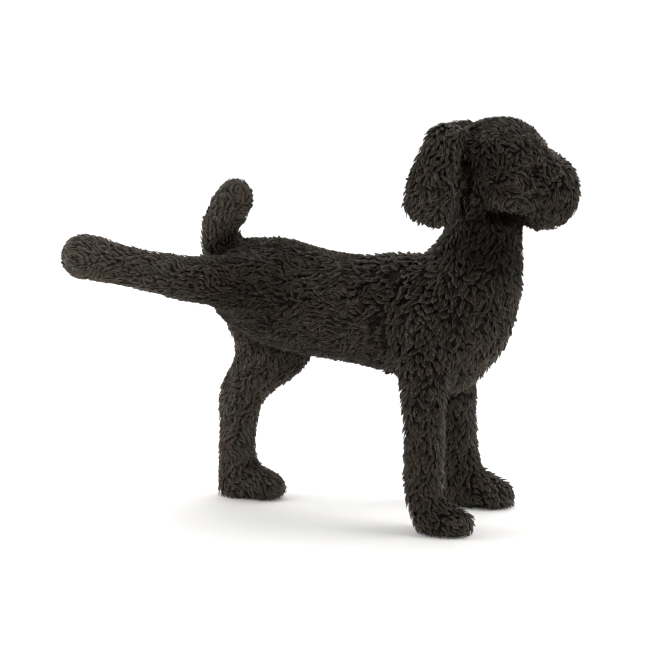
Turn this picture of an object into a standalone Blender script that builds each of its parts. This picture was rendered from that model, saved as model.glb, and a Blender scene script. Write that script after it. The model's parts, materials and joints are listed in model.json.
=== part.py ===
"""Resin statue of a shaggy dog that stands on three legs and holds its right hind leg out behind it.

One hollow casting, modelled here as one closed solid: the smooth figure first, then the coat of
pressed leaf-shaped tufts over all of it but the three flat soles.

The dog looks along +X, its left side is towards +Y, and it stands on the plane z = 0.
"""

import math
import random

import bmesh
import bpy
import numpy as np
from mathutils import Matrix, Vector

# Driving sizes, in metres.
HEIGHT = 0.420  # floor to the crown of the head, over the tufts
TUFT_SPACING = 0.0112  # from one carved tuft to the next
TUFT_RISE = 0.0034  # a tuft's tip above the hollows around it
TUFT_LEAN = 0.0030  # how far the tip is swept along the lie of the coat
TUFT_SCATTER = 0.0017  # how far a tuft's corners stray from their even rows
LIE_REACH = 0.012  # over which the coat turns from one limb's lie to the next
FORM_GRID = 0.0050  # voxel that fuses the limbs into one skin
SOLE_SNAP = 0.0010  # a corner this near the floor is put on it before the soles are cut

BLEND_ROUNDS = 4  # smoothing rounds that melt one limb into the next
RING_SIDES = 20
SEED = 3

# The figure is sketched in units of which its crown stands this many high, so HEIGHT scales it all.
SKETCH_HEIGHT = 420.0
UNIT = HEIGHT / SKETCH_HEIGHT

SIDEWAYS = (0.0, 1.0, 0.0)
FORWARDS = (1.0, 0.0, 0.0)

# Each station of a limb: centre x, y, z, then the half width along the limb's side and across it.
TORSO = [
    (-80, 0, 236, 44, 49),
    (-55, 0, 231, 52, 56.5),
    (-10, 0, 220, 53, 56),
    (40, 0, 215, 54, 56.5),
    (90, 0, 212, 54, 62.5),
    (128, 0, 213, 52, 58),
    (153, 0, 217, 46, 49),
]
NECK = [
    (133, 0, 176, 40, 41),
    (141, 0, 196, 49, 48),
    (147.5, 0, 224, 51, 51),
    (154.5, 0, 252, 48, 51.5),
    (163, 0, 279, 43, 45),
    (167, 0, 303, 40, 37.5),
    (171, 0, 334, 40, 36),
]
MUZZLE = [
    (186, 0, 354, 36, 32),
    (210, 0, 345.6, 36, 38.6),
    (228.1, 0, 345.4, 36, 40.1),
]
TAIL = [
    (-115.5, 0, 262, 17, 15.5),
    (-115.5, 0, 289, 17, 18.3),
    (-103.5, 0, 312, 17, 22.6),
    (-92.5, 0, 331, 15.5, 20.3),
]
EAR = [
    (144, 34, 399.5, 15, 10),
    (138.5, 43, 406, 23.5, 10.5),
    (135, 50, 388, 25.5, 10.5),
    (128, 55, 365, 29, 10.5),
    (124.3, 57, 340, 30.6, 10.5),
    (119.8, 57, 323, 28.5, 10),
]
RIGHT_FORELEG = [
    (116, -36, 219, 24, 34),
    (117, -44, 174, 23, 28.3),
    (117.2, -50, 144, 21.5, 23.5),
    (119.2, -54, 109, 20, 20.8),
    (120, -57, 64, 20, 20.5),
    (122, -58, 32, 20, 19.5),
    (133, -58, -8, 20, 14),
]
LEFT_FORELEG = [
    (118, 36, 219, 24, 34),
    (123.5, 43, 174, 23, 29.5),
    (127.5, 48, 144, 21.5, 24.6),
    (129, 51, 109, 20, 21.5),
    (131.5, 53, 64, 20, 21.5),
    (136, 54, 32, 20, 21),
    (139, 54, -8, 20, 20),
]
LEFT_HIND_LEG = [
    (-64, 28, 219, 26, 47),
    (-66, 32, 184, 25, 54),
    (-70, 33, 159, 23, 44.5),
    (-84.4, 32, 134, 21, 28.5),
    (-99.4, 29, 111, 19, 24.2),
    (-101.4, 27, 89, 18, 22.5),
    (-103.2, 25, 64, 18, 19.5),
    (-103, 25, 36, 18.5, 21),
    (-105, 25, -8, 19, 20),
]
RIGHT_HIND_LEG = [
    (-48, -24, 231, 28, 44),
    (-82, -38, 241, 27, 34),
    (-108, -51, 247, 24, 26.5),
    (-136, -63, 251.2, 21.5, 24.4),
    (-165, -75, 258.7, 19.5, 22.2),
    (-190, -86, 265.8, 19, 22.2),
    (-214, -96, 273.4, 20, 24.7),
    (-228.8, -103, 275.4, 20, 24.1),
]

# Each paw: heel and toe stations of a short limb that runs from the ankle to the toes.
RIGHT_FORE_PAW = [(138.5, -58, 12, 22, 18), (155, -60, 9.3, 22.5, 17.8)]
LEFT_FORE_PAW = [(149, 54, 16.5, 22, 23.4), (175, 54, 10.4, 22.5, 19.4)]
LEFT_HIND_PAW = [(-92, 25, 15.5, 21, 23), (-68, 25, 9, 22, 18.6)]
RIGHT_HIND_PAW = [(-230, -103, 277, 21.5, 18.5), (-221, -122, 278, 21.5, 17)]

# Each rounded mass: centre x, y, z, then its half length along x, y and z.
CRANIUM = (182, 0, 369, 52.7, 46, 49.7)
CHEEK = (200, 34, 350, 24, 18, 23)

LEFT_EAR_DROP = 6  # the left ear hangs this much lower than the right one

# Which way the coat lies along each limb: None follows the limb from root to tip.
DOWN_AND_BACK = (-0.8, 0.0, -0.45)
DOWN = (-0.1, 0.0, -1.0)
COAT_LIES = [
    (TORSO, DOWN_AND_BACK),
    (NECK, DOWN),
    (MUZZLE, DOWN_AND_BACK),
    (TAIL, None),
    (EAR, None),
    (RIGHT_FORELEG, None),
    (LEFT_FORELEG, None),
    (LEFT_HIND_LEG, None),
    (RIGHT_HIND_LEG, None),
]


def ring_axes(points, side):
    """The two axes of each ring on a path through the points: one near side, one across it."""
    tangents = np.gradient(points, axis=0)
    axes = []
    for tangent in tangents:
        along = Vector(tangent).normalized()
        across = along.cross(Vector(side)).normalized()
        axes.append((across.cross(along).normalized(), across, along))
    return axes


def smooth_stations(stations, steps=6):
    """A Catmull-Rom curve through the stations, their half widths included."""
    rows = np.array(stations, float)
    padded = np.vstack([2 * rows[0] - rows[1], rows, 2 * rows[-1] - rows[-2]])
    curve = []
    for i in range(1, len(padded) - 2):
        before, start, end, after = padded[i - 1 : i + 3]
        for t in np.linspace(0, 1, steps, endpoint=False):
            curve.append(
                0.5
                * (
                    2 * start
                    + (end - before) * t
                    + (2 * before - 5 * start + 4 * end - after) * t**2
                    + (3 * start - before - 3 * end + after) * t**3
                )
            )
    curve.append(rows[-1])
    return np.array(curve)


def with_round_ends(stations, steps=5):
    """The same curve with a half ellipse of shrinking rings before its first ring and after its last."""
    first = (stations[0, :3] - stations[1, :3]) / np.linalg.norm(stations[0, :3] - stations[1, :3])
    last = (stations[-1, :3] - stations[-2, :3]) / np.linalg.norm(stations[-1, :3] - stations[-2, :3])
    rings = []
    for direction, end in ((first, stations[0]), (last, stations[-1])):
        cap = []
        for angle in np.linspace(0, math.pi / 2, steps + 1, endpoint=False)[1:]:
            ring = end.copy()
            ring[:3] += direction * min(end[3:]) * math.sin(angle)
            ring[3:] *= math.cos(angle)
            cap.append(ring)
        rings.append(cap)
    return np.vstack([rings[0][::-1], stations, rings[1]])


def add_limb(bm, stations, side=SIDEWAYS):
    """Adds one closed, round-ended limb: a ring at each point of the curve, bridged to the next."""
    curve = with_round_ends(smooth_stations(stations))
    axes = ring_axes(curve[:, :3], side)
    loops = []
    for (x, y, z, half_side, half_across), (side_axis, across_axis, along) in zip(curve, axes):
        frame = Matrix((side_axis, across_axis, along)).transposed().to_4x4()
        size = Matrix.Diagonal((half_side, half_across, 1.0, 1.0))
        ring = bmesh.ops.create_circle(
            bm,
            segments=RING_SIDES,
            radius=1.0,
            matrix=Matrix.Translation((x, y, z)) @ frame @ size,
        )["verts"]
        loops.append(ring)
    for ring, following in zip(loops, loops[1:]):
        for i in range(RING_SIDES):
            j = (i + 1) % RING_SIDES
            bm.faces.new((ring[i], ring[j], following[j], following[i]))
    bm.faces.new(reversed(loops[0]))
    bm.faces.new(loops[-1])


def add_mass(bm, mass):
    """Adds one rounded mass, an ellipsoid."""
    place = Matrix.Translation(mass[:3])
    size = Matrix.Diagonal((*mass[3:], 1.0))
    bmesh.ops.create_uvsphere(bm, u_segments=24, v_segments=16, radius=1.0, matrix=place @ size)


def lowered(rows, drop):
    """The same stations, this much lower."""
    return [(x, y, z - drop, side, across) for x, y, z, side, across in rows]


def mirrored(rows):
    """The same stations or mass on the other side of the dog."""
    if isinstance(rows, tuple):
        return (rows[0], -rows[1], *rows[2:])
    return [(x, -y, z, side, across) for x, y, z, side, across in rows]


def rough_figure():
    """Every limb and mass of the dog as overlapping closed shells, at real size."""
    bm = bmesh.new()
    for stations in (TORSO, NECK, MUZZLE, TAIL, RIGHT_FORELEG, LEFT_FORELEG, LEFT_HIND_LEG, RIGHT_HIND_LEG):
        add_limb(bm, stations)
    for paw in (RIGHT_FORE_PAW, LEFT_FORE_PAW, LEFT_HIND_PAW):
        add_limb(bm, paw)
    add_limb(bm, RIGHT_HIND_PAW, side=(0.0, 0.0, 1.0))
    for ear in (lowered(EAR, LEFT_EAR_DROP), mirrored(EAR)):
        add_limb(bm, ear, side=FORWARDS)
    for mass in (CRANIUM, CHEEK, mirrored(CHEEK)):
        add_mass(bm, mass)
    bmesh.ops.recalc_face_normals(bm, faces=bm.faces)
    bmesh.ops.scale(bm, vec=(UNIT, UNIT, UNIT), verts=bm.verts)
    mesh = bpy.data.meshes.new("rough_figure")
    bm.to_mesh(mesh)
    bm.free()
    return mesh


def evaluated(obj):
    """The object's mesh with its modifiers applied."""
    graph = bpy.context.evaluated_depsgraph_get()
    return bpy.data.meshes.new_from_object(obj.evaluated_get(graph), depsgraph=graph)


def fuse_figure(dog):
    """Joins the shells into one smooth skin, then lays it out in near-even quads, one for each tuft."""
    fuse = dog.modifiers.new("Fuse limbs", "REMESH")
    fuse.mode = "VOXEL"
    fuse.voxel_size = FORM_GRID
    melt = dog.modifiers.new("Melt joins", "SMOOTH")
    melt.factor = 0.5
    melt.iterations = BLEND_ROUNDS
    dog.data = evaluated(dog)
    dog.modifiers.clear()
    bpy.context.view_layer.objects.active = dog
    dog.select_set(True)
    area = sum(face.area for face in dog.data.polygons)
    bpy.ops.object.quadriflow_remesh(mode="FACES", target_faces=round(area / TUFT_SPACING**2), seed=0)


def lie_samples():
    """Points along every limb and the way the coat lies at each of them."""
    places, directions = [], []
    for stations, lie in COAT_LIES:
        curve = smooth_stations(stations)[:, :3]
        along = np.gradient(curve, axis=0)
        along /= np.linalg.norm(along, axis=1, keepdims=True)
        places.extend(curve * UNIT)
        directions.extend(along if lie is None else np.tile(lie, (len(curve), 1)))
    return np.array(places), np.array(directions, float)


def coat_lie(point, normal, samples):
    """The direction in the surface along which the coat lies at a point."""
    places, directions = samples
    distance = np.linalg.norm(places - np.array(point), axis=1)
    weight = np.exp(-(((distance - distance.min()) / LIE_REACH) ** 2))
    lie = Vector((weight[:, None] * directions).sum(axis=0))
    return (lie - lie.dot(normal) * normal).normalized()


def carve_coat(bm):
    """Raises one tuft on every quad: its tip stands out and is swept along the lie of the coat."""
    rng = random.Random(SEED)
    samples = lie_samples()
    shifts = []
    for vert in bm.verts:
        lie = coat_lie(vert.co, vert.normal, samples)
        across = vert.normal.cross(lie)
        shifts.append((lie * rng.uniform(-1, 1) + across * rng.uniform(-1, 1)) * TUFT_SCATTER)
    for vert, shift in zip(bm.verts, shifts):
        vert.co += shift
    bm.normal_update()
    normals = [face.normal.copy() for face in bm.faces]
    tips = bmesh.ops.poke(bm, faces=bm.faces, offset=0.0)["verts"]
    for tip, normal in zip(tips, normals):
        lie = coat_lie(tip.co, normal, samples)
        across = normal.cross(lie)
        rise = TUFT_RISE * rng.uniform(0.7, 1.2)
        lean = TUFT_LEAN * rng.uniform(0.6, 1.2)
        swing = TUFT_LEAN * rng.uniform(-0.5, 0.5)
        tip.co += normal * rise + lie * lean + across * swing


def cut_soles(bm):
    """Cuts the paws off flat at the floor and closes each cut with its sole."""
    for vert in bm.verts:
        if abs(vert.co.z) < SOLE_SNAP:
            vert.co.z = 0.0
    bmesh.ops.bisect_plane(
        bm,
        geom=[*bm.verts, *bm.edges, *bm.faces],
        dist=1e-6,
        plane_co=(0.0, 0.0, 0.0),
        plane_no=(0.0, 0.0, -1.0),
        clear_outer=True,
    )
    rims = [edge for edge in bm.edges if edge.is_boundary]
    bmesh.ops.holes_fill(bm, edges=rims, sides=0)
    bmesh.ops.triangulate(bm, faces=bm.faces)


def centre_over_origin(bm):
    """Moves the statue along the floor until its origin lies midway between its sides."""
    corners = np.array([vert.co for vert in bm.verts])
    middle = (corners.min(axis=0) + corners.max(axis=0)) / 2
    bmesh.ops.translate(bm, vec=(-middle[0], -middle[1], 0.0), verts=bm.verts)


def resin():
    """Matt near-black cast resin."""
    material = bpy.data.materials.new("cast polyresin")
    material.use_nodes = True
    surface = material.node_tree.nodes["Principled BSDF"]
    surface.inputs["Base Color"].default_value = (0.030, 0.026, 0.021, 1.0)
    surface.inputs["Roughness"].default_value = 0.75
    surface.inputs["Metallic"].default_value = 0.0
    return material


def main():
    for obj in list(bpy.data.objects):
        bpy.data.objects.remove(obj)
    dog = bpy.data.objects.new("dog_statue", rough_figure())
    bpy.context.collection.objects.link(dog)
    fuse_figure(dog)
    bm = bmesh.new()
    bm.from_mesh(dog.data)
    carve_coat(bm)
    cut_soles(bm)
    centre_over_origin(bm)
    bm.to_mesh(dog.data)
    bm.free()
    dog.data.materials.append(resin())


main()
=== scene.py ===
# %% [markdown]
# # A cast resin dog with a coat of pressed leaves
#
# The real object is one hollow casting in near-black resin. Its coat isn't hair: it is thousands of
# small pointed tufts, each shaped like a leaf, pressed on the model before the mould was taken. They
# overlap like roof shingles and lie the way a dog's coat lies.
#
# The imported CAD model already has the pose, the outline and a coarse version of the tufts. This file
# keeps its form, smooths the coarse tufts away and lays the fine ones on it with Geometry Nodes.

# %% Open the frame
import json
import math

import bmesh
import bpy
import numpy as np
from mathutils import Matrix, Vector
from mathutils.bvhtree import BVHTree

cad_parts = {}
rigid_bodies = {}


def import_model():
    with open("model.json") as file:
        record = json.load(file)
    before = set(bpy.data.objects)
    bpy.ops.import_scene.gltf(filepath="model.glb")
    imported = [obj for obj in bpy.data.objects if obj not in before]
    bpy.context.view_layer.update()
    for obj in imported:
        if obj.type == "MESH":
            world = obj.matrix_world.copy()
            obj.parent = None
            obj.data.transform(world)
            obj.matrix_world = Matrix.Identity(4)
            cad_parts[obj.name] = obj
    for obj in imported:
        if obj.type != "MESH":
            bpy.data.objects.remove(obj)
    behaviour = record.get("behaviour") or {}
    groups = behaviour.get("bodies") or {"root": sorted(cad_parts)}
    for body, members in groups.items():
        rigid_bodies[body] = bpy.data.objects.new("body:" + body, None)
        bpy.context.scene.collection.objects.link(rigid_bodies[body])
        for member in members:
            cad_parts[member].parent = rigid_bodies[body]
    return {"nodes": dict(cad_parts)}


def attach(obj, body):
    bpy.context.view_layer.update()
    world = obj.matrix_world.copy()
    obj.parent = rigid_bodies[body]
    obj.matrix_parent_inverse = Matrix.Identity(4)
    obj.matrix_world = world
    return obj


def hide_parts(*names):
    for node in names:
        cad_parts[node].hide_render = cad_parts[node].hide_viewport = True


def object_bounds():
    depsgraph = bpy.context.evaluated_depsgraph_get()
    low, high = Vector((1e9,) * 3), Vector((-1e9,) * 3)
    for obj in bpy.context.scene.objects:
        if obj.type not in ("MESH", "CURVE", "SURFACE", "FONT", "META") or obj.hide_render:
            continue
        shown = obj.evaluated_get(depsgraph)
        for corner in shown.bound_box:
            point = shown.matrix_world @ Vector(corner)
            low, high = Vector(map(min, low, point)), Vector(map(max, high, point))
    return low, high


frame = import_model()
cad_low, cad_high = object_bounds()
cad_dog = frame["nodes"]["dog_statue"]
print("CAD box in mm:", [round(1000 * (high - low)) for low, high in zip(cad_low, cad_high)])

# %% [markdown]
# All places on the statue are read at one size, 421 mm from the floor to the crown. `place` scales
# them to the statue that was really loaded, so the coat still fits if the CAD model is rescaled.

# %% Places and sizes
MM = 0.001
READ_AT_HEIGHT = 421.3 * MM
SIZE_RATIO = (cad_high[2] - cad_low[2]) / READ_AT_HEIGHT


def place(x, y, z):
    """A point given in millimetres on the statue, in metres in the frame."""
    return np.array((x, y, z)) * MM * SIZE_RATIO


def length(millimetres):
    """A length given in millimetres on the statue, in metres in the frame."""
    return millimetres * MM * SIZE_RATIO


print("size ratio", round(SIZE_RATIO, 4))

# %% [markdown]
# ## The smooth figure under the coat
#
# The real coat was pressed on a smooth figure. That figure could be modelled again, but the CAD model
# already holds it, so it is taken from there. A CAD mesh arrives as loose triangles, so a copy is first
# merged into one skin. A voxel remesh rebuilds the skin from small cubes, a few rounds of smoothing wear
# the coarse tufts down, and Decimate leaves fewer faces, because the leaves need the triangles.

# %% Copy the CAD mesh
SAME_POINT = length(0.01)


def evaluated_mesh(obj):
    """The object's mesh with its modifiers applied, as a new plain mesh."""
    graph = bpy.context.evaluated_depsgraph_get()
    return bpy.data.meshes.new_from_object(obj.evaluated_get(graph), depsgraph=graph)


def merged_copy(source, name):
    """A copy of a CAD node whose loose triangles are joined at their corners."""
    bm = bmesh.new()
    bm.from_mesh(source.data)
    bmesh.ops.remove_doubles(bm, verts=bm.verts, dist=SAME_POINT)
    mesh = bpy.data.meshes.new(name)
    bm.to_mesh(mesh)
    bm.free()
    obj = bpy.data.objects.new(name, mesh)
    bpy.context.collection.objects.link(obj)
    return obj


dog = merged_copy(cad_dog, "cast_dog")
cad_bm = bmesh.new()
cad_bm.from_mesh(dog.data)
cad_tree = BVHTree.FromBMesh(cad_bm)
cad_bm.free()
print("CAD skin:", len(dog.data.vertices), "vertices")

# %% Remesh and smooth
SKIN_GRID = length(4.6)
SKIN_SMOOTHING = 5
SKIN_THINNING = 0.42  # share of the triangles kept


def smooth_skin(obj):
    """Rebuilds the skin from voxels and wears its tufts down."""
    remesh = obj.modifiers.new("Voxel skin", "REMESH")
    remesh.mode = "VOXEL"
    remesh.voxel_size = SKIN_GRID
    smooth = obj.modifiers.new("Wear the tufts down", "SMOOTH")
    smooth.factor = 0.5
    smooth.iterations = SKIN_SMOOTHING
    thin = obj.modifiers.new("Fewer faces", "DECIMATE")
    thin.ratio = SKIN_THINNING
    obj.data = evaluated_mesh(obj)
    obj.modifiers.clear()


smooth_skin(dog)
print("smooth skin:", len(dog.data.vertices), "vertices")

# %% [markdown]
# Smoothing shrinks a thin leg or ear more than a thick body. So the skin is measured against the CAD
# surface and moved to one depth under it everywhere, which is the room that the leaves fill again.
# The soles have to stay flat, so what ends up near the floor is put back on it.

# %% Sink the skin evenly
SKIN_DEPTH = length(1.85)
SOLE_DEPTH = length(1.6)  # skin lower than this above the floor belongs to a sole
SINKING_PASSES = 2
EVENING_ROUNDS = 6


def mesh_arrays(mesh):
    """A mesh's points and their normals, as rows."""
    points = np.empty(len(mesh.vertices) * 3)
    normals = np.empty(len(mesh.vertices) * 3)
    mesh.vertices.foreach_get("co", points)
    mesh.vertex_normals.foreach_get("vector", normals)
    return points.reshape(-1, 3), normals.reshape(-1, 3)


def spread(mesh, values, rounds):
    """Evens a value out over the skin by averaging it along the edges."""
    edges = np.empty(len(mesh.edges) * 2, dtype=np.int32)
    mesh.edges.foreach_get("vertices", edges)
    one, other = edges.reshape(-1, 2).T
    count = np.bincount(edges, minlength=len(values)).astype(float)
    for _ in range(rounds):
        total = np.zeros_like(values)
        np.add.at(total, one, values[other])
        np.add.at(total, other, values[one])
        values = 0.5 * values + 0.5 * (total.T / count).T
    return values


def sink_evenly(mesh):
    """Moves the skin to the same depth under the CAD surface everywhere, and keeps the soles flat."""
    points, normals = mesh_arrays(mesh)
    above = np.empty(len(points))
    for index, point in enumerate(points):
        hit, face_normal, _, _ = cad_tree.find_nearest(Vector(point))
        above[index] = (Vector(point) - hit).dot(face_normal)
    above = spread(mesh, above, EVENING_ROUNDS)
    points = points - normals * (above + SKIN_DEPTH)[:, None]
    sole = points[:, 2] < cad_low[2] + SOLE_DEPTH
    points[sole, 2] = cad_low[2]
    mesh.vertices.foreach_set("co", points.ravel())
    mesh.update()
    print("skin above the CAD surface before, in mm:", round(float(above.mean()) / MM, 2))


for _ in range(SINKING_PASSES):
    sink_evenly(dog.data)

# %% [markdown]
# ## Which way the coat lies
#
# A sculptor lays the tufts the way hair grows: down the neck, chest and legs, backwards along the
# flanks, out along the raised leg. This could be painted by hand. Here each stretch of the body is a
# short line through it with one direction, one leaf size and the thickness of the body round the line.
# A point of the skin takes from the lines nearest to it, blended, so no seam shows between stretches.
#
# `painted_lighting` is the light and shade painted on a stretch: 1 is the usual black, more is painted
# lighter, as on the legs and the tail, and less is painted darker as shade, as on the neck and under the
# jaw.

# %% Leaf sizes and the stretch of coat
RIGHT, LEFT = -1, 1
MIDDLE_Y = 30  # where the middle of the body is, in millimetres
BROAD = (14.0, 6.2)  # length and width of the leaves, in millimetres
LONG = (12.5, 4.4)
MEDIUM = (10.5, 3.8)
SLIM = (9.5, 3.2)
DOWN = (0.0, 0.0, -1.0)
TO_TOES = (0.75, 0.0, -0.6)


def stretch(start, end, thickness, lie, leaf, painted_lighting=1.0):
    """A stretch of coat round a line, with painted light and shade. Without an end and a lie it is a whorl,
    which points outwards.
    """
    return {
        "start": place(*start),
        "end": None if end is None else place(*end),
        "thickness": length(thickness),
        "lie": lie,
        "leaf": leaf,
        "painted_lighting": painted_lighting,
    }


print("leaf sizes in mm:", BROAD, LONG, MEDIUM, SLIM)


# %% The stretches of the head
def stretches_beside_the_face(side):
    """One side of the head."""

    def at(x, outward, z):
        return x, MIDDLE_Y + side * outward, z

    return [
        # the last numbers paint the temple, the skin before the ear and the cheek darker, as shade
        # temple, and before the ear
        stretch(at(172, 40, 384), at(192, 38, 376), 14, (0.25, 0.0, -1.0), SLIM, 0.85),
        stretch(at(156, 40, 388), at(164, 42, 352), 12, (0.55, 0.0, -0.85), SLIM, 0.7),
        # cheek, front and back
        stretch(at(178, 42, 352), at(196, 40, 364), 12, (0.85, 0.0, 0.25), SLIM, 0.85),
        stretch(at(166, 42, 345), at(166, 42, 330), 12, (-0.5, 0.0, -0.9), SLIM, 0.7),
        # ear, root and flap
        stretch(at(138, 34, 408), at(128, 46, 396), 12, (-0.4, side * 0.5, -0.8), MEDIUM),
        stretch(at(126, 50, 386), at(112, 57, 322), 12, (-0.22, 0.0, -1.0), MEDIUM),
    ]


def head_stretches():
    y = MIDDLE_Y
    return [
        # the last numbers paint the muzzle, crown and back of the head a little darker, and under the jaw
        # darker, as shade
        # muzzle, brow, crown and back of the head
        stretch((208, y, 352), (222, y, 344), 38, (-0.10, 0.0, -1.0), MEDIUM, 0.7),
        stretch((194, y, 388), (202, y, 376), 26, (-0.45, 0.0, 0.90), MEDIUM),
        stretch((158, y, 378), (180, y, 384), 38, (-1.0, 0.0, 0.15), SLIM, 0.7),
        stretch((138, y, 378), (144, y, 340), 28, (-0.25, 0.0, -1.0), MEDIUM, 0.8),
        # top of the muzzle, and under the jaw
        stretch((206, y, 386), (230, y, 370), 8, (0.9, 0.0, -0.3), MEDIUM),
        stretch((206, y, 322), (180, y, 318), 20, (0.9, 0.0, 0.0), MEDIUM, 0.4),
        *stretches_beside_the_face(RIGHT),
        *stretches_beside_the_face(LEFT),
    ]


stretches = head_stretches()
print("stretches of the head:", len(stretches))


# %% The stretches of the body
def body_stretches():
    y = MIDDLE_Y
    return [
        # the last numbers paint the neck, belly and rump darker, as shade, and the chest, shoulder and tail
        # lighter
        # neck, chest and shoulder
        stretch((163, y, 318), (145, y, 240), 45, (-0.05, 0.0, -1.0), LONG, 0.3),
        stretch((142, y, 232), (126, y, 176), 48, (-0.12, 0.0, -1.0), BROAD, 1.6),
        stretch((95, y, 236), (112, y, 205), 52, (-0.40, 0.0, -0.92), BROAD, 1.35),
        # flank, belly and rump
        stretch((62, y, 213), (-60, y, 229), 54, (-1.0, 0.0, -0.20), MEDIUM),
        stretch((80, y, 186), (-30, y, 190), 30, (-1.0, 0.0, -0.1), MEDIUM, 0.3),
        stretch((-60, y, 231), (-92, y, 238), 46, (-1.0, 0.0, 0.1), SLIM, 0.15),
        # tail, lower and upper half
        stretch((-120, y, 262), (-122, y, 292), 18, (-0.05, 0.0, 1.0), SLIM, 3.6),
        stretch((-120, y, 296), (-103, y, 329), 19, (0.45, 0.0, 0.9), SLIM, 2.6),
    ]


stretches += body_stretches()
print("with the body:", len(stretches))


# %% The stretches of the legs and the whorls of the cheeks
def leg_stretches():
    return [
        # the last numbers paint the legs and paws lighter, and the groin and the root of the raised leg
        # darker, as shade
        # right foreleg and paw
        stretch((108, -6, 215), (110, -14, 170), 27, (-0.08, 0.0, -1.0), BROAD),
        stretch((110, -18, 150), (113, -28, 20), 20, DOWN, LONG, 1.35),
        stretch((126, -28, 12), (147, -30, 8), 19, TO_TOES, MEDIUM, 1.8),
        # left foreleg and paw
        stretch((110, 66, 215), (116, 73, 170), 27, (-0.08, 0.0, -1.0), BROAD),
        stretch((118, 77, 150), (128, 84, 20), 20, DOWN, LONG, 1.45),
        stretch((140, 84, 14), (166, 84, 8), 19, TO_TOES, MEDIUM, 1.6),
        # standing left hind leg: thigh, groin, shin, above the paw, and the paw
        stretch((-72, 60, 215), (-75, 63, 165), 40, (-0.15, 0.0, -1.0), MEDIUM, 1.1),
        stretch((-38, 56, 192), (-52, 58, 148), 26, (-0.4, 0.0, -0.9), MEDIUM, 0.5),
        stretch((-78, 62, 155), (-105, 60, 112), 26, (-0.45, 0.0, -0.9), MEDIUM, 2.1),
        stretch((-108, 58, 105), (-112, 55, 20), 19, DOWN, MEDIUM, 2.3),
        stretch((-103, 55, 12), (-77, 55, 8), 19, TO_TOES, MEDIUM, 2.9),
        # raised right hind leg: root, leg and foot
        stretch((-70, 0, 236), (-116, -21, 249), 32, (-0.91, -0.38, 0.12), SLIM, 0.6),
        stretch((-125, -26, 251), (-222, -66, 272), 20, (-0.90, -0.36, 0.22), SLIM, 2.05),
        stretch((-234, -73, 276), (-230, -90, 278), 20, (-0.80, -0.50, 0.30), SLIM, 2.5),
    ]


CHEEK_OUT = 36  # from the middle of the head to a cheek, in millimetres
stretches += leg_stretches()
# the cheeks are painted a little lighter
for side in (RIGHT, LEFT):
    stretches.append(stretch((194, MIDDLE_Y + side * CHEEK_OUT, 352), None, 16, None, SLIM, 1.1))
print("stretches of coat:", len(stretches))

# %% [markdown]
# ## Creases
#
# Where two masses of the figure meet, the coat goes down into a fold and comes out again: before each
# ear, under the jaw, at the throat and where the chest meets the left foreleg. The smoothing filled
# these folds. They could be cut with a Boolean, but a soft fold is only a dent, so the skin is sunk
# along a line, less and less with the distance from it. A fold on the side of the head follows a line
# as it is seen from that side, however far out the skin is there.

# %% Press the creases into the skin
CREASE_DEPTH = length(7)
CREASE_REACH = length(6)
FOLD_FROM = length(15)  # how far out from the middle a side begins
OUT_OF_REACH = 1.0  # metres
SIDE_VIEW = np.array([1.0, 0.0, 1.0])


def crease(start, end, side=None):
    """A fold of the skin along a line. One with a side runs down that side of the head."""
    return {"start": place(*start), "end": place(*end), "side": side}


creases = [
    crease((201, 12, 309), (201, 48, 309)),  # where the throat meets the jaw
    crease((149, 50, 143), (151, 84, 143)),  # where the chest meets the left foreleg
]
for side in (RIGHT, LEFT):
    creases += [
        crease((152, MIDDLE_Y, 406), (148, MIDDLE_Y, 350), side),  # before the ear
        crease((148, MIDDLE_Y, 350), (143, MIDDLE_Y, 325), side),  # down to the neck
        crease((172, MIDDLE_Y, 326), (203, MIDDLE_Y, 319), side),  # under the jaw
    ]


def distance_to_line(points, start, end):
    """How far each point is from the line between two places, or from the start alone."""
    if end is None:
        return np.linalg.norm(points - start, axis=1)
    along = end - start
    share = np.clip((points - start) @ along / (along @ along), 0.0, 1.0)
    return np.linalg.norm(points - (start + share[:, None] * along), axis=1)


def press_creases(mesh):
    """Sinks the skin along each crease."""
    points, normals = mesh_arrays(mesh)
    outward = points[:, 1] - place(0, MIDDLE_Y, 0)[1]
    for row in creases:
        if row["side"] is None:
            away = distance_to_line(points, row["start"], row["end"])
        else:
            start, end = row["start"] * SIDE_VIEW, row["end"] * SIDE_VIEW
            away = distance_to_line(points * SIDE_VIEW, start, end)
            away[outward * row["side"] < FOLD_FROM] = OUT_OF_REACH
        share = np.exp(-((away / CREASE_REACH) ** 2))
        points -= normals * (CREASE_DEPTH * share)[:, None]
    mesh.vertices.foreach_set("co", points.ravel())
    mesh.update()


press_creases(dog.data)
print("creases:", len(creases))

# %% [markdown]
# ## What the skin tells the leaves
#
# Each vertex of the skin gets four attributes, which Geometry Nodes and the material read by name:
#
# - `lie`, the direction of the coat, laid into the surface
# - `leaf`, the length, width and height of the leaves there, in metres
# - `painted_lighting`, the light and shade painted there: how much lighter or darker the colour is
# - `hollow`, 1 deep in a fold and 0 on open skin, found by comparing the skin with a smoother copy; the
#   colour is painted darker by it, as shade
#
# A small swirl turns the direction here and there, because a hand-laid coat is never combed straight.

# %% Write the attributes
BLEND_REACH = length(12)
SWIRL = 0.35
SWIRL_PATCH = length(38)
SWIRL_WAVES = np.array([[1.0, 0.6, -0.8], [0.5, 1.0, 1.3], [-0.9, 0.4, 1.0]])
HOLLOW_DEPTH = length(7)
HOLLOW_ROUNDS = 40
COUNTED_AS_HOLLOW = 0.3


def unit(vectors):
    return vectors / np.maximum(np.linalg.norm(vectors, axis=1), 1e-9)[:, None]


def lie_of(row, points):
    """The direction that one stretch gives each point."""
    if row["lie"] is None:
        return unit(points - row["start"])
    return np.tile(row["lie"], (len(points), 1))


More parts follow.
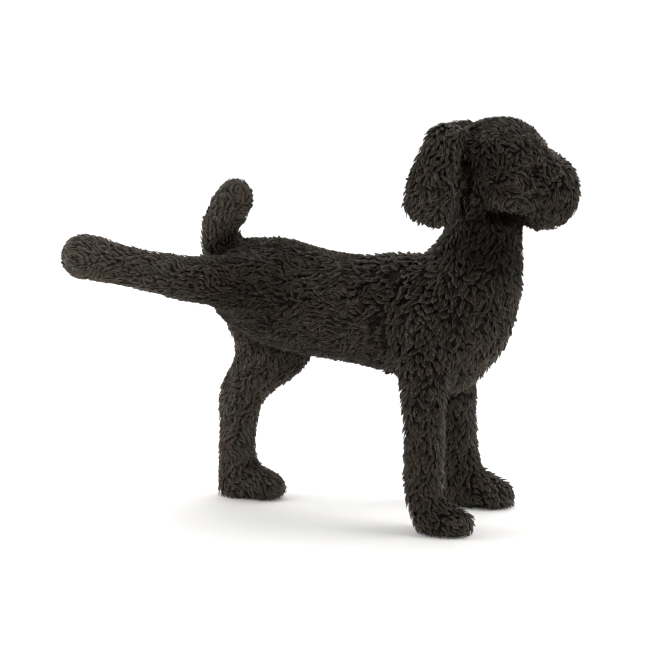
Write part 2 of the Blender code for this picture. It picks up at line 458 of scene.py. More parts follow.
def coat_at(points, normals):
    """The lie of the coat, the size of its leaves and its painted light and shade at every point."""
    depth = np.stack(
        [distance_to_line(points, row["start"], row["end"]) - row["thickness"] for row in stretches]
    )
    weight = np.exp(-(((depth - depth.min(axis=0)) / BLEND_REACH) ** 2))
    weight /= weight.sum(axis=0)
    lie = sum(share[:, None] * lie_of(row, points) for share, row in zip(weight, stretches))
    waves = SWIRL_WAVES * (2 * math.pi / SWIRL_PATCH)
    lie += SWIRL * np.sin(points @ waves)
    lie -= (lie * normals).sum(axis=1)[:, None] * normals
    leaf = weight.T @ np.array([(*row["leaf"], row["leaf"][1]) for row in stretches])
    painted_lighting = weight.T @ np.array([row["painted_lighting"] for row in stretches])
    return unit(lie), leaf * MM * SIZE_RATIO, painted_lighting


def store(mesh, name, kind, values):
    """Writes one value for each vertex as a named attribute."""
    attribute = mesh.attributes.new(name, kind, "POINT")
    field = "vector" if kind == "FLOAT_VECTOR" else "value"
    attribute.data.foreach_set(field, np.ravel(values).astype(np.float32))


points, normals = mesh_arrays(dog.data)
lie, leaf, painted_lighting = coat_at(points, normals)
smoother = spread(dog.data, points, HOLLOW_ROUNDS)
hollow = np.clip(((smoother - points) * normals).sum(axis=1) / HOLLOW_DEPTH, 0.0, 1.0)
store(dog.data, "lie", "FLOAT_VECTOR", lie)
store(dog.data, "leaf", "FLOAT_VECTOR", leaf)
store(dog.data, "hollow", "FLOAT", hollow)
store(dog.data, "painted_lighting", "FLOAT", painted_lighting)
print("leaf length in mm:", round(leaf[:, 0].min() / MM, 1), "to", round(leaf[:, 0].max() / MM, 1))
print("share of the skin in hollows:", round(float((hollow > COUNTED_AS_HOLLOW).mean()), 3))

# %% [markdown]
# ## One leaf
#
# A tuft is a pointed oval, thick enough to come out of a mould. It is closed underneath, and its stem
# goes down into the skin. A curve with a bevel could make it, but there will be thousands, so each leaf
# is built point by point: a slim one with a ridge has twelve triangles, and a broad one with a flat back
# has sixteen. Four shapes of each, bent a little to one side or curled at the tip, are enough for the eye
# to read every leaf as its own.
#
# Three attributes tell the finish where it is on a leaf. `across` runs from -1 to 1 over its width, and
# stays low over a flat back. `reach` runs from 0 at the stem to 1 at the tip. `strand` counts the
# strands from the middle outwards: a pressed leaf isn't plain, it has a few lines along it. The finish
# bumps the strands and paints them lighter than the grooves, paints shade at the stem and a highlight on
# the sides and the tip.

# %% Model the leaf shapes
SLIM_SHAPES = [
    # sideways bend, curl of the tip, height of the ridge, width at the shoulder
    (0.00, -0.02, 0.32, 1.00),
    (0.07, 0.02, 0.27, 0.90),
    (-0.07, 0.00, 0.27, 0.95),
    (0.03, -0.10, 0.36, 1.05),
]
BROAD_SHAPES = [
    (0.00, -0.03, 0.28, 1.00),
    (0.06, 0.03, 0.24, 0.92),
    (-0.06, -0.07, 0.26, 0.96),
    (0.02, 0.10, 0.18, 1.10),
]
FLAT_TOP = 0.55  # of a broad leaf's width
SLIM_RIB = [(-1.0, 0.0), (0.0, 1.0), (1.0, 0.0)]  # across the leaf, then how high
BROAD_RIB = [(-1.0, 0.0), (-FLAT_TOP, 1.0), (FLAT_TOP, 1.0), (1.0, 0.0)]
SLIM_STRANDS, BROAD_STRANDS = 1, 2
LEAF_ROWS = [
    # along the leaf, share of the width, of the bend and of the curl, and the reach
    (-0.02, 1.0, 0.2, 0.0, 0.45),  # shoulder
    (0.36, 0.80, 2.0, 0.35, 0.82),  # neck
]
STEM = (-0.38, 0.0, -0.25)  # below the skin, where the leaf is rooted
TIP_X, TIP_BEND = 0.62, 4
RAISE = 0.10  # how far the rest stands above the skin
SHARP_FROM = math.radians(35)  # an edge steeper than this is shaded sharp


def leaf_faces(n):
    """The triangles between a stem, two rows of n points and a tip."""
    tip = 2 * n + 1
    faces = []
    for i in range(1, n):
        faces += [(0, i, i + 1), (i, n + i, n + i + 1)]
        faces += [(i, n + i + 1, i + 1), (n + i, tip, n + i + 1)]
    underside = [(0, n, 1), (1, n, 2 * n), (1, 2 * n, n + 1), (n + 1, 2 * n, tip)]
    return faces + underside


def leaf_object(name, rib, strands, bend, curl, ridge, width):
    """One leaf, 1 long and about 1 wide, that points along +X with its back up."""
    rows = [(STEM, 0.0, 0.0, 0.0)]  # place, across, reach and strand
    for x, narrowing, turn, lift, reach in LEAF_ROWS:
        for across, height in rib:
            y = bend * turn + across * narrowing * width / 2
            z = RAISE + curl * lift + ridge * height * narrowing
            rows.append(((x, y, z), across * abs(across), reach, across * strands / 2))
    rows.append(((TIP_X, bend * TIP_BEND, RAISE + curl), 0.0, 1.0, 0.0))
    mesh = bpy.data.meshes.new(name)
    mesh.from_pydata([row[0] for row in rows], [], leaf_faces(len(rib)))
    for column, attribute in enumerate(("across", "reach", "strand"), start=1):
        store(mesh, attribute, "FLOAT", [row[column] for row in rows])
    mesh.shade_smooth()
    mesh.set_sharp_from_angle(angle=SHARP_FROM)
    return bpy.data.objects.new(name, mesh)


leaf_shapes = bpy.data.collections.new("leaf shapes")
for kind, rib, strands, shapes in (
    ("leaf_a_slim", SLIM_RIB, SLIM_STRANDS, SLIM_SHAPES),
    ("leaf_b_broad", BROAD_RIB, BROAD_STRANDS, BROAD_SHAPES),
):
    for index, shape in enumerate(shapes):
        leaf_shapes.objects.link(leaf_object(f"{kind}_{index}", rib, strands, *shape))

# %% [markdown]
# ## The finish
#
# Polyresin is stone powder bound in resin. It comes out of a rubber mould with a fine dull grain and is
# sprayed near-black. One dark colour would look like soot, so the spray lies a little warmer or greener
# from patch to patch and darker or lighter from leaf to leaf. Light and shade are painted in as well: the
# strands are painted lighter than the grooves, the sides and tips get a painted highlight, the hollows
# and the stems between the leaves get painted shade, and each stretch of coat is painted lighter or darker.
# It could be painted on an image. Noise and the leaves' own attributes are used instead, because they
# colour thousands of leaves by themselves.

# %% A helper that adds a shader or geometry node
def socket_named(sockets, name):
    """The socket in a numbered place, or the one in use of those with a name."""
    if isinstance(name, int):
        return sockets[name]
    return next(socket for socket in sockets if socket.name == name and socket.enabled)


def add(tree, kind, links=None, **settings):
    """Adds a node, sets its properties, then fills its sockets with values or links."""
    node = tree.nodes.new(kind)
    for name, value in settings.items():
        setattr(node, name, value)
    for name, value in (links or {}).items():
        socket = socket_named(node.inputs, name)
        if isinstance(value, bpy.types.NodeSocket):
            tree.links.new(value, socket)
        else:
            socket.default_value = value
    return node


def out(node, name=None):
    """A node's output socket: the named one, or the first that is in use."""
    return next(s for s in node.outputs if s.enabled and (name is None or s.name == name))


def hex_colour(text):
    """An sRGB hex colour as the linear values that a shader takes."""
    parts = [int(text[i : i + 2], 16) / 255 for i in (1, 3, 5)]
    return (*[c / 12.92 if c <= 0.04045 else ((c + 0.055) / 1.055) ** 2.4 for c in parts], 1.0)


# %% The strands, which are bumped and painted lighter, and the patches of the spray
PATCH_MM = 26  # how wide a warmer or greener patch is
PATCH_NOISE = (0.35, 0.65)  # noise that is fully warm, and noise that is fully green


def strand_wave(tree, marks):
    """1 along each strand of a leaf and -1 in the grooves between, and weaker on a slim leaf."""
    angle = add(tree, "ShaderNodeMath", {0: marks["strand"], 1: 2 * math.pi}, operation="MULTIPLY")
    ripple = add(tree, "ShaderNodeMath", {0: out(angle)}, operation="COSINE")
    return out(add(tree, "ShaderNodeMath", {0: out(ripple), 1: marks["groove"]}, operation="MULTIPLY"))


def spray_patches(tree, where):
    """0 in the warm patches of the spray and 1 in the green ones, with soft borders."""
    noise = add(tree, "ShaderNodeTexNoise", {"Vector": where, "Scale": 1 / length(PATCH_MM), "Detail": 3.0})
    least, most = PATCH_NOISE
    patch = {"Value": out(noise, "Fac"), "From Min": least, "From Max": most}
    return out(add(tree, "ShaderNodeMapRange", patch))


# %% The sprayed black of a leaf
# the black of the painted shade in the hollows and between the leaves
PAINTED_SHADE_BLACK = "#0c0a09"
WARM_BLACK = "#2c241f"
GREEN_BLACK = "#252520"
LEAF_TONES = (0.6, 1.35)  # of the spray's brightness, from the darkest leaf to the lightest
STRAND_LIGHT_AND_SHADE = (0.3, 1.75)  # of the leaf's brightness: painted shade in a groove and painted light along a strand


def sprayed_leaf(tree, patch, marks, wave, clear_of_stem_shade):
    """The leaf's black with its own tone, painted lighter along the strands and darker in the grooves,
    lighter or darker with the stretch's painted light and shade, and with painted shade where it goes into
    the coat.
    """
    black = add(
        tree,
        "ShaderNodeMix",
        {"Factor": patch, "A": hex_colour(WARM_BLACK), "B": hex_colour(GREEN_BLACK)},
        data_type="RGBA",
    )
    leaf_tone = add(
        tree,
        "ShaderNodeMapRange",
        {"Value": marks["tone"], "To Min": LEAF_TONES[0], "To Max": LEAF_TONES[1]},
    )
    # painted light along the strands and painted shade in the grooves
    low, high = STRAND_LIGHT_AND_SHADE
    strands = add(
        tree,
        "ShaderNodeMapRange",
        {"Value": wave, "From Min": -1.0, "From Max": 1.0, "To Min": low, "To Max": high},
    )
    tone = add(tree, "ShaderNodeMath", {0: out(leaf_tone), 1: out(strands)}, operation="MULTIPLY")
    # brighter or darker by the light and shade painted on the stretch
    tone_here = add(tree, "ShaderNodeMath", {0: out(tone), 1: marks["painted_lighting"]}, operation="MULTIPLY")
    shaded = add(
        tree,
        "ShaderNodeVectorMath",
        {0: out(black, "Result"), "Scale": out(tone_here)},
        operation="SCALE",
    )
    # Painted shade on the skin between the leaves and at their stems, less dark where the stretch is
    # painted lighter.
    painted_lighting_squared = add(tree, "ShaderNodeMath", {0: marks["painted_lighting"], 1: marks["painted_lighting"]}, operation="MULTIPLY")
    between = add(
        tree,
        "ShaderNodeVectorMath",
        {0: hex_colour(PAINTED_SHADE_BLACK)[:3], "Scale": out(painted_lighting_squared)},
        operation="SCALE",
    )
    body = add(
        tree,
        "ShaderNodeMix",
        {"Factor": clear_of_stem_shade, "A": out(between), "B": out(shaded)},
        data_type="RGBA",
    )
    return out(body, "Result")


# %% The painted highlight on the sides and tips
TOUCH_MM = 5  # from one touch of the painted highlight to the next
TOUCH_NOISE = (0.35, 0.6)  # noise that leaves the painted highlight out, and noise that paints it in full
SIDE = (0.35, 0.85)  # across, from where the painted highlight begins to where it is full
TIP = (0.85, 0.97)  # reach, the same for the painted highlight at the tip


def painted_highlight_share(tree, where, marks, clear_of_stem_shade):
    """How strong the painted highlight is: on the sides and the tip of a leaf, in touches."""
    touch = add(tree, "ShaderNodeTexNoise", {"Vector": where, "Scale": 1 / length(TOUCH_MM), "Detail": 3.0})
    aside = add(tree, "ShaderNodeMath", {0: marks["across"]}, operation="ABSOLUTE")
    highlight_touch, side, tip = (
        add(tree, "ShaderNodeMapRange", {"Value": value, "From Min": least, "From Max": most})
        for value, (least, most) in (
            (out(touch, "Fac"), TOUCH_NOISE),
            (out(aside), SIDE),
            (marks["reach"], TIP),
        )
    )
    edge =add(tree, "ShaderNodeMath", {0: out(side), 1: out(tip)}, operation="MAXIMUM")
    edge_in_sight = add(tree, "ShaderNodeMath", {0: out(edge), 1: clear_of_stem_shade}, operation="MULTIPLY")
    touched = add(tree, "ShaderNodeMath", {0: out(edge_in_sight), 1: out(highlight_touch)}, operation="MULTIPLY")
    share = add(
        tree,
        "ShaderNodeMath",
        {0: out(touched), 1: marks["painted_lighting"]},
        operation="MULTIPLY",
        use_clamp=True,
    )
    return out(share)


# %% The dull grain
GRAIN_MM = 0.7  # the stone powder's grain, drawn coarse enough to show
GRAIN_DEPTH_MM, GRAIN_STRENGTH = 0.25, 0.35
GROOVE_DEPTH_MM, GROOVE_STRENGTH = 0.35, 0.8
ROUGHNESS = (0.48, 0.66)  # between the grains and on them
SHINE = (0.5, 0.08)  # on open skin and in a hollow
SHINE_AT_STEM = 0.6  # of the shine at the tip


def dull_grain(tree, surface, where, marks, wave, clear_of_stem_shade):
    """Sets how dull the surface is, and its grooves and grain."""
    shelter = add(
        tree,
        "ShaderNodeMapRange",
        {"Value": marks["hollow"], "To Min": SHINE[0], "To Max": SHINE[1]},
    )
    open_leaf = add(tree, "ShaderNodeMapRange", {"Value": clear_of_stem_shade, "To Min": SHINE_AT_STEM, "To Max": 1.0})
    shine = add(tree, "ShaderNodeMath", {0: out(shelter), 1: out(open_leaf)}, operation="MULTIPLY")
    tree.links.new(out(shine), surface.inputs["Specular IOR Level"])
    grain = add(tree, "ShaderNodeTexNoise", {"Vector": where, "Scale": 1 / length(GRAIN_MM), "Detail": 3.0})
    dullness = add(
        tree,
        "ShaderNodeMapRange",
        {"Value": out(grain, "Fac"), "To Min": ROUGHNESS[0], "To Max": ROUGHNESS[1]},
    )
    tree.links.new(out(dullness), surface.inputs["Roughness"])
    grooves = add(
        tree,
        "ShaderNodeBump",
        {"Height": wave, "Strength": GROOVE_STRENGTH, "Distance": length(GROOVE_DEPTH_MM)},
    )
    bump = add(
        tree,
        "ShaderNodeBump",
        {
            "Height": out(grain, "Fac"),
            "Strength": GRAIN_STRENGTH,
            "Distance": length(GRAIN_DEPTH_MM),
            "Normal": out(grooves),
        },
    )
    tree.links.new(out(bump), surface.inputs["Normal"])


# %% Cast polyresin, sprayed black, with painted highlights at the edges and painted shade in the hollows
# the colour of the painted highlight on the sides and tips of the leaves
HIGHLIGHT_WARM = "#655b52"
HIGHLIGHT_COOL = "#625c55"
SHINE_TINT = "#eedfcc"
REFRACTION = 1.30
STEM_SHADE_FULL_TO, STEM_SHADE_GONE_AT = 0.12, 0.62  # reach on the leaf where the painted shade at the stem starts to fade, and where it is gone
MARKS = ("tone", "across", "reach", "strand", "groove", "hollow", "painted_lighting")


def cast_polyresin():
    """Near-black and dull, with lighter lines: painted light and soft gleams on the strands, painted
    highlights on the leaf edges and painted shade in the hollows; no gloss anywhere.
    """
    material = bpy.data.materials.new("cast_polyresin_black")
    material.use_nodes = True
    tree = material.node_tree
    surface = tree.nodes["Principled BSDF"]
    surface.inputs["Metallic"].default_value = 0.0
    surface.inputs["IOR"].default_value = REFRACTION
    surface.inputs["Specular Tint"].default_value = hex_colour(SHINE_TINT)
    where = out(add(tree, "ShaderNodeTexCoord"), "Object")
    marks = {name: out(add(tree, "ShaderNodeAttribute", attribute_name=name), "Fac") for name in MARKS}
    wave = strand_wave(tree, marks)
    patch = spray_patches(tree, where)
    # the painted shade at the stem fades out along the leaf
    stem_shade_range = {"Value": marks["reach"], "From Min": STEM_SHADE_FULL_TO, "From Max": STEM_SHADE_GONE_AT}
    clear_of_stem_shade = out(add(tree, "ShaderNodeMapRange", stem_shade_range))
    highlight_colour = add(
        tree,
        "ShaderNodeMix",
        {"Factor": patch, "A": hex_colour(HIGHLIGHT_WARM), "B": hex_colour(HIGHLIGHT_COOL)},
        data_type="RGBA",
    )
    with_highlight = add(
        tree,
        "ShaderNodeMix",
        {
            "Factor": painted_highlight_share(tree, where, marks, clear_of_stem_shade),
            "A": sprayed_leaf(tree, patch, marks, wave, clear_of_stem_shade),
            "B": out(highlight_colour, "Result"),
        },
        data_type="RGBA",
    )
    # Painted shade in the hollows: the colour goes to the shade black deep in a fold.
    colour = add(
        tree,
        "ShaderNodeMix",
        {"Factor": marks["hollow"], "A": out(with_highlight, "Result"), "B": hex_colour(PAINTED_SHADE_BLACK)},
        data_type="RGBA",
    )
    tree.links.new(out(colour, "Result"), surface.inputs["Base Color"])
    dull_grain(tree, surface, where, marks, wave, clear_of_stem_shade)
    return material


resin = cast_polyresin()
print("material:", resin.name, "with", len(resin.node_tree.nodes), "nodes")

# %% [markdown]
# ## Laying the coat with Geometry Nodes
#
# Thousands of leaves could be placed by a loop in Python, but Geometry Nodes are made for what covers a
# surface, and their sizes stay open as named inputs. The tree strews points over the skin, none closer
# to the next than a set spacing. On each point it stands one leaf, turns the leaf's back away from the
# skin and its tip along `lie`, then lifts the tip so that it rests on the leaf behind, as shingles do.

# %% Strew points over the skin
SPACINGS = [  # leaf widths from and to, and how close such leaves stand, all in millimetres
    (0.0, 3.5, 2.95),
    (3.5, 4.0, 3.30),
    (4.0, 4.7, 3.75),
    (4.7, 5.5, 4.3),
    (5.5, 99.0, 4.8),
]
MOST_POINTS = 400000.0  # on a square metre, more than the spacings leave room for
A_HAIR = 1e-9  # so that a leaf on a limit is in one class
SOLE_MARGIN = length(2.5)


def strew_points(tree, given, leaf_width):
    """Points on the skin, not on the soles, further apart where the leaves are broader."""
    position = out(add(tree, "GeometryNodeInputPosition"))
    height = out(add(tree, "ShaderNodeSeparateXYZ", {0: position}), "Z")
    sole_top = cad_low[2] + SOLE_MARGIN
    above_sole = add(tree, "ShaderNodeMath", {0: height, 1: sole_top}, operation="GREATER_THAN")
    strewn = tree.nodes.new("GeometryNodeJoinGeometry")
    for slimmest, broadest, spacing in SPACINGS:
        limit = length(slimmest) - A_HAIR
        not_slimmer = add(tree, "ShaderNodeMath", {0: leaf_width, 1: limit}, operation="GREATER_THAN")
        limit = length(broadest)
        slimmer = add(tree, "ShaderNodeMath", {0: leaf_width, 1: limit}, operation="LESS_THAN")
        within = add(tree, "ShaderNodeMath", {0: out(not_slimmer), 1: out(slimmer)}, operation="MULTIPLY")
        density = add(tree, "ShaderNodeMath", {0: out(above_sole), 1: out(within)}, operation="MULTIPLY")
        distance = add(
            tree, "ShaderNodeMath", {0: given["Spacing"], 1: length(spacing)}, operation="MULTIPLY"
        )
        points = add(
            tree,
            "GeometryNodeDistributePointsOnFaces",
            {
                "Mesh": given["Geometry"],
                "Distance Min": out(distance),
                "Density Max": MOST_POINTS,
                "Density Factor": out(density),
                "Seed": given["Seed"],
            },
            distribute_method="POISSON",
        )
        kept_normal = add(
            tree,
            "GeometryNodeStoreNamedAttribute",
            {"Geometry": out(points, "Points"), "Name": "skin_normal", "Value": out(points, "Normal")},
            data_type="FLOAT_VECTOR",
            domain="POINT",
        )
        tree.links.new(out(kept_normal), strewn.inputs[0])
    return out(strewn)


# %% [markdown]
# A leaf is turned in three steps: upright on the skin, combed along `lie`, and then astray. Single leaves
# stray at random, and small clumps turn together, so no rows show. Broad leaves lift their tips further
# than slim ones, which gives the chest its deeper shadows.

# %% Turn the leaves
SLIM_FROM_MM, BROAD_FROM_MM = 3.5, 5.5  # widths between which a leaf goes from slim to broad
LIFT_SHARES = (-0.8, -1.35)  # of the tip lift; a turn about +Y lowers the tip, hence the minus
CLUMP_MM = 16  # from one clump to the next
CLUMP_NOISE = (0.3, 0.7)  # where the noise turns a clump furthest
CLUMP_TURN = math.radians(45)
STRAYS = (math.radians(20), 0.16, math.radians(20))  # roll, pitch and turn of a single leaf
STRAY_SEED = 11


def by_leaf_width(tree, leaf_width, slim_value, broad_value):
    """A value that goes from one to the other as the leaf gets broader."""
    ramp = add(
        tree,
        "ShaderNodeMapRange",
        {
            "Value": leaf_width,
            "From Min": length(SLIM_FROM_MM),
            "From Max": length(BROAD_FROM_MM),
            "To Min": slim_value,
            "To Max": broad_value,
        },
    )
    return out(ramp)


def turn_leaves(tree, tip_lift, leaf_width):
    """The rotation of each leaf."""
    lie, normal = (
        add(tree, "GeometryNodeInputNamedAttribute", {"Name": name}, data_type="FLOAT_VECTOR")
        for name in ("lie", "skin_normal")
    )
    skin_up = out(normal, "Attribute")
    upright = add(tree, "FunctionNodeAlignRotationToVector", {"Vector": skin_up}, axis="Z")
    combed = add(
        tree,
        "FunctionNodeAlignRotationToVector",
        {"Rotation": out(upright), "Vector": out(lie, "Attribute")},
        axis="X",
        pivot_axis="Z",
    )
    stray = add(
        tree,
        "FunctionNodeRandomValue",
        {"Min": tuple(-angle for angle in STRAYS), "Max": STRAYS, "Seed": STRAY_SEED},
        data_type="FLOAT_VECTOR",
    )
    clump = add(tree, "ShaderNodeTexNoise", {"Scale": 1 / length(CLUMP_MM), "Detail": 1.0})
    clump_turn = add(
        tree,
        "ShaderNodeMapRange",
        {
            "Value": out(clump, "Fac"),
            "From Min": CLUMP_NOISE[0],
            "From Max": CLUMP_NOISE[1],
            "To Min": -CLUMP_TURN,
            "To Max": CLUMP_TURN,
        },
    )
    lift_share = by_leaf_width(tree, leaf_width, *LIFT_SHARES)
    lift = add(tree, "ShaderNodeMath", {0: tip_lift, 1: lift_share}, operation="MULTIPLY")
    lift_and_turn = add(tree, "ShaderNodeCombineXYZ", {"Y": out(lift), "Z": out(clump_turn)})
    angles = add(tree, "ShaderNodeVectorMath", {0: out(stray), 1: out(lift_and_turn)}, operation="ADD")
    astray = add(tree, "FunctionNodeEulerToRotation", {0: out(angles)})
    turned = add(
        tree,
        "FunctionNodeRotateRotation",
        {"Rotation": out(combed), "Rotate By": out(astray)},
        rotation_space="LOCAL",
    )
    return out(turned)


# %% Stand one leaf on each point
FLAT_BACK_FROM_MM = 3.95  # a leaf wider than this has a flat back
GROWTH_LEAST = (0.82, 0.80, 0.85)  # of a leaf's length, width and height
GROWTH_MOST = (1.18, 1.20, 1.20)
SHAPE_SEED, GROWTH_SEED = 12, 13


def stand_leaves(tree, points, rotation, leaf, leaf_width):
    """Instances of the leaf shapes, each grown a little differently."""
    shapes = add(
        tree,
        "GeometryNodeCollectionInfo",
        {"Collection": leaf_shapes, "Separate Children": True, "Reset Children": True},
    )
    first_broad = len(SLIM_SHAPES)
    last_broad = first_broad + len(BROAD_SHAPES) - 1
    pick_slim, pick_broad = (
        add(
            tree,
            "FunctionNodeRandomValue",
            {"Min": lowest, "Max": highest, "Seed": SHAPE_SEED},
            data_type="INT",
        )
        for lowest, highest in ((0, first_broad - 1), (first_broad, last_broad))
    )
    limit = length(FLAT_BACK_FROM_MM)
    is_broad = add(tree, "ShaderNodeMath", {0: leaf_width, 1: limit}, operation="GREATER_THAN")
    pick = add(
        tree,
        "GeometryNodeSwitch",
        {"Switch": out(is_broad), "False": out(pick_slim), "True": out(pick_broad)},
        input_type="INT",
    )
    growth = add(
        tree,
        "FunctionNodeRandomValue",
        {"Min": GROWTH_LEAST, "Max": GROWTH_MOST, "Seed": GROWTH_SEED},
        data_type="FLOAT_VECTOR",
    )
    size = add(tree, "ShaderNodeVectorMath", {0: out(growth), 1: leaf}, operation="MULTIPLY")
    leaves = add(
        tree,
        "GeometryNodeInstanceOnPoints",
        {
            "Points": points,
            "Instance": out(shapes),
            "Pick Instance": True,
            "Instance Index": out(pick),
            "Rotation": rotation,
            "Scale": out(size),
        },
    )
    return out(leaves)


# %% [markdown]
# Each leaf then gets a `tone` of its own and the depth of its grooves, `groove`, for the finish to read.
# Realize Instances makes real triangles of the leaves. What would poke through the floor is laid flat on
# it, so the soles stay flat, and the skin itself is joined on, because it shows between the leaves.

# %% Mark the leaves and keep them above the floor
TONE_SEED = 14
GROOVES = (0.15, 1.0)  # on the slimmest and the broadest leaves


def mark_leaves(tree, leaves, leaf_width):
    """Writes the tone and the groove of each leaf."""
    tone = add(
        tree,
        "FunctionNodeRandomValue",
        {"Min": 0.0, "Max": 1.0, "Seed": TONE_SEED},
        data_type="FLOAT",
    )
    groove = by_leaf_width(tree, leaf_width, *GROOVES)
    for name, value in (("tone", out(tone)), ("groove", groove)):
        marked = add(
            tree,
            "GeometryNodeStoreNamedAttribute",
            {"Geometry": leaves, "Name": name, "Value": value},
            data_type="FLOAT",
            domain="INSTANCE",
        )
        leaves = out(marked)
    return leaves


def above_the_floor(tree, leaves):
    """The leaves as real triangles, with nothing lower than the floor."""
    real = add(tree, "GeometryNodeRealizeInstances", {"Geometry": leaves})
    spot = add(tree, "ShaderNodeSeparateXYZ", {0: out(add(tree, "GeometryNodeInputPosition"))})
    kept = add(tree, "ShaderNodeMath", {0: out(spot, "Z"), 1: cad_low[2]}, operation="MAXIMUM")
    flat = add(tree, "ShaderNodeCombineXYZ", {"X": out(spot, "X"), "Y": out(spot, "Y"), "Z": out(kept)})
    return out(add(tree, "GeometryNodeSetPosition", {"Geometry": out(real), "Position": out(flat)}))


# %% Put the tree together
def coat_tree():
    """Skin in, skin with its coat out."""
    tree = bpy.data.node_groups.new("Lay the coat", "GeometryNodeTree")
    face = tree.interface
    face.new_socket("Geometry", in_out="INPUT", socket_type="NodeSocketGeometry")
    face.new_socket("Spacing", in_out="INPUT", socket_type="NodeSocketFloat")
    face.new_socket("Tip Lift", in_out="INPUT", socket_type="NodeSocketFloat")
    face.new_socket("Seed", in_out="INPUT", socket_type="NodeSocketInt")
    face.new_socket("Geometry", in_out="OUTPUT", socket_type="NodeSocketGeometry")
    given = tree.nodes.new("NodeGroupInput").outputs
    result = tree.nodes.new("NodeGroupOutput").inputs["Geometry"]

    sizes = add(tree, "GeometryNodeInputNamedAttribute", {"Name": "leaf"}, data_type="FLOAT_VECTOR")
    leaf = out(sizes, "Attribute")
    leaf_width = out(add(tree, "ShaderNodeSeparateXYZ", {0: leaf}), "Y")
    points = strew_points(tree, given, leaf_width)
    rotation = turn_leaves(tree, given["Tip Lift"], leaf_width)
    leaves = stand_leaves(tree, points, rotation, leaf, leaf_width)
    coat = above_the_floor(tree, mark_leaves(tree, leaves, leaf_width))

    whole = tree.nodes.new("GeometryNodeJoinGeometry")
    tree.links.new(coat, whole.inputs[0])
    tree.links.new(given["Geometry"], whole.inputs[0])
    finished = add(tree, "GeometryNodeSetMaterial", {"Geometry": out(whole), "Material": resin})
    tree.links.new(out(finished), result)
    return tree


tree = coat_tree()
print("coat tree:", len(tree.nodes), "nodes")

# %% Run it and keep a plain mesh
SPACING_SHARE = 1.0  # of every spacing; more thins the coat
TIP_LIFT = math.radians(20)
STREWING_SEED = 7


def set_input(modifier, name, value):
    """Sets a modifier's input by its socket's identifier."""
    items = modifier.node_group.interface.items_tree
    socket = next(item for item in items if item.name == name and item.in_out == "INPUT")
    modifier[socket.identifier] = value


coat = dog.modifiers.new("Coat", "NODES")
coat.node_group = tree
set_input(coat, "Spacing", SPACING_SHARE)
set_input(coat, "Tip Lift", TIP_LIFT)
set_input(coat, "Seed", STREWING_SEED)
skin_faces = len(dog.data.polygons)
dog.data = evaluated_mesh(dog)
dog.modifiers.clear()
for unused in ("lie", "leaf", "skin_normal"):
    dog.data.attributes.remove(dog.data.attributes[unused])
dog.data.materials.clear()
dog.data.materials.append(resin)
dog.data.calc_loop_triangles()
print("skin faces:", skin_faces, "leaf faces:", len(dog.data.polygons) - skin_faces)
print("triangles:", len(dog.data.loop_triangles))

# %% [markdown]
# ## Telling the frame what was made
#
# The finished dog stands for the one CAD node. It has no joints, so it rides on the only body.

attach(dog, "root")
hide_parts("dog_statue")

# %% [markdown]
# ## The studio
#
# The photograph is a shop picture: the dog alone on white, with soft light all round and none from the
# camera, so its near side stays dark and its outline is bright. A box light above and behind and one on
# either side do that. The floor is a plain pale sheet that runs out of the picture and gives a little
# light of its own, more of it further away, so no horizon shows.

# %% The camera's direction
CAMERA_AZIMUTH = math.radians(15.0)
CAMERA_ELEVATION = math.radians(11.5)
MIDDLE_OF_VIEW = (-7.7, 29.9, 196.5)  # where the camera looks, in millimetres


def direction(azimuth, elevation):
    """A unit vector from the dog outwards. Azimuth 0 is in front of its right side."""
    level = math.cos(elevation)
    return Vector((math.sin(azimuth) * level, -math.cos(azimuth) * level, math.sin(elevation)))


centre = Vector(place(*MIDDLE_OF_VIEW))
back = direction(CAMERA_AZIMUTH, CAMERA_ELEVATION)
print("towards the camera:", [round(part, 3) for part in back])

# %% The floor
FLOOR_WHITE = "#f9f8f6"
FLOOR_REACH = 40.0  # metres
NEAR_GLOW, FAR_GLOW = 0.08, 0.40  # how much light the paper gives of itself
GLOW_FROM, GLOW_TO = 0.35, 1.5  # metres from the dog


def matt_studio_paper():
    """Pale and without gloss, so it shows the dog's soft shadow and no reflection."""
    material = bpy.data.materials.new("matt_studio_paper")
    material.use_nodes = True
    tree = material.node_tree
    surface = tree.nodes["Principled BSDF"]
    surface.inputs["Base Color"].default_value = hex_colour(FLOOR_WHITE)
    surface.inputs["Roughness"].default_value = 0.9
    surface.inputs["Specular IOR Level"].default_value = 0.2
    surface.inputs["Emission Color"].default_value = (1.0, 1.0, 1.0, 1.0)
    where = out(add(tree, "ShaderNodeTexCoord"), "Object")
    away = add(tree, "ShaderNodeVectorMath", {0: where}, operation="LENGTH")
    glow = add(
        tree,
        "ShaderNodeMapRange",
        {
            "Value": out(away, "Value"),
            "From Min": GLOW_FROM,
            "From Max": GLOW_TO,
            "To Min": NEAR_GLOW,
            "To Max": FAR_GLOW,
        },
        interpolation_type="SMOOTHSTEP",
    )
    tree.links.new(out(glow), surface.inputs["Emission Strength"])
    return material


def studio_floor():
    corners = [(-1, -1), (1, -1), (1, 1), (-1, 1)]
    mesh = bpy.data.meshes.new("studio_floor")
    places = [(x * FLOOR_REACH, y * FLOOR_REACH, cad_low[2]) for x, y in corners]
    mesh.from_pydata(places, [], [(0, 1, 2, 3)])
    mesh.materials.append(matt_studio_paper())
    floor = bpy.data.objects.new("studio_floor", mesh)
    bpy.context.collection.objects.link(floor)
    return floor


studio_floor()
print("floor height in mm:", round(cad_low[2] / MM, 2))

# %% The lights
SOFTBOXES = [
    # name, azimuth and elevation in degrees, distance and width in metres, power in watts
    ("overhead softbox", 180, 65, 1.7, 1.4, 12.5),
    ("right softbox", 100, 45, 2.0, 1.0, 18),
    ("left softbox", -80, 30, 2.0, 1.0, 19),
]


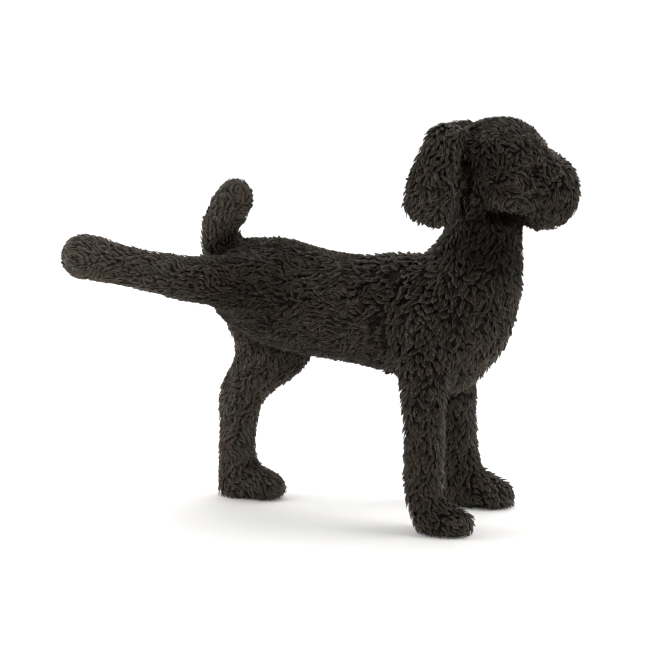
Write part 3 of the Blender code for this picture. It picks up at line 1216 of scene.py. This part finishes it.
def softbox(name, azimuth, elevation, distance, width, watts):
    """A square area light that looks at the dog."""
    outward = direction(math.radians(azimuth), math.radians(elevation))
    data = bpy.data.lights.new(name, "AREA")
    data.energy = watts
    data.size = width
    light = bpy.data.objects.new(name, data)
    bpy.context.collection.objects.link(light)
    light.location = centre + outward * distance
    light.rotation_euler = outward.to_track_quat("Z", "Y").to_euler()


for row in SOFTBOXES:
    softbox(*row)
print("softboxes:", len(SOFTBOXES))

# %% The world
WORLD_STRENGTH = 1.15
FRONT_STRENGTH = 0.03
FRONT_FROM, FRONT_FULL = -0.2, 0.7  # cosine of the angle from the photographer's side


def studio_world():
    """White all round, and dark on the side where the photographer stands."""
    world = bpy.data.worlds.new("white studio")
    world.use_nodes = True
    tree = world.node_tree
    toward = out(add(tree, "ShaderNodeTexCoord"), "Generated")
    facing = add(tree, "ShaderNodeVectorMath", {0: toward, 1: tuple(back)}, operation="DOT_PRODUCT")
    light = add(
        tree,
        "ShaderNodeMapRange",
        {
            "Value": out(facing, "Value"),
            "From Min": FRONT_FROM,
            "From Max": FRONT_FULL,
            "To Min": WORLD_STRENGTH,
            "To Max": FRONT_STRENGTH,
        },
        interpolation_type="SMOOTHSTEP",
    )
    tree.links.new(out(light), tree.nodes["Background"].inputs["Strength"])
    tree.nodes["Background"].inputs["Color"].default_value = (1.0, 1.0, 1.0, 1.0)
    return world


bpy.context.scene.world = studio_world()
bpy.context.scene.view_settings.view_transform = "Standard"
print("world:", bpy.context.scene.world.name)

# %% [markdown]
# ## The camera
#
# The photograph looks at the dog's right side from a little in front and a little above, with a long
# lens: the three paws on the floor fix the height, and the outline fixes the rest.

# %% Place the camera
CAMERA_DISTANCE = 2.4 * SIZE_RATIO
FOCAL_PIXELS = 2307.6  # focal length in pixels of a picture 650 wide
PICTURE_WIDTH = 650
SENSOR_MM = 36.0

camera_data = bpy.data.cameras.new("camera")
camera_data.sensor_width = SENSOR_MM
camera_data.lens = camera_data.sensor_width * FOCAL_PIXELS / PICTURE_WIDTH
camera = bpy.data.objects.new("camera", camera_data)
bpy.context.collection.objects.link(camera)
camera.location = centre + back * CAMERA_DISTANCE
camera.rotation_euler = back.to_track_quat("Z", "Y").to_euler()
bpy.context.scene.camera = camera
print("lens in mm:", round(camera_data.lens, 1))
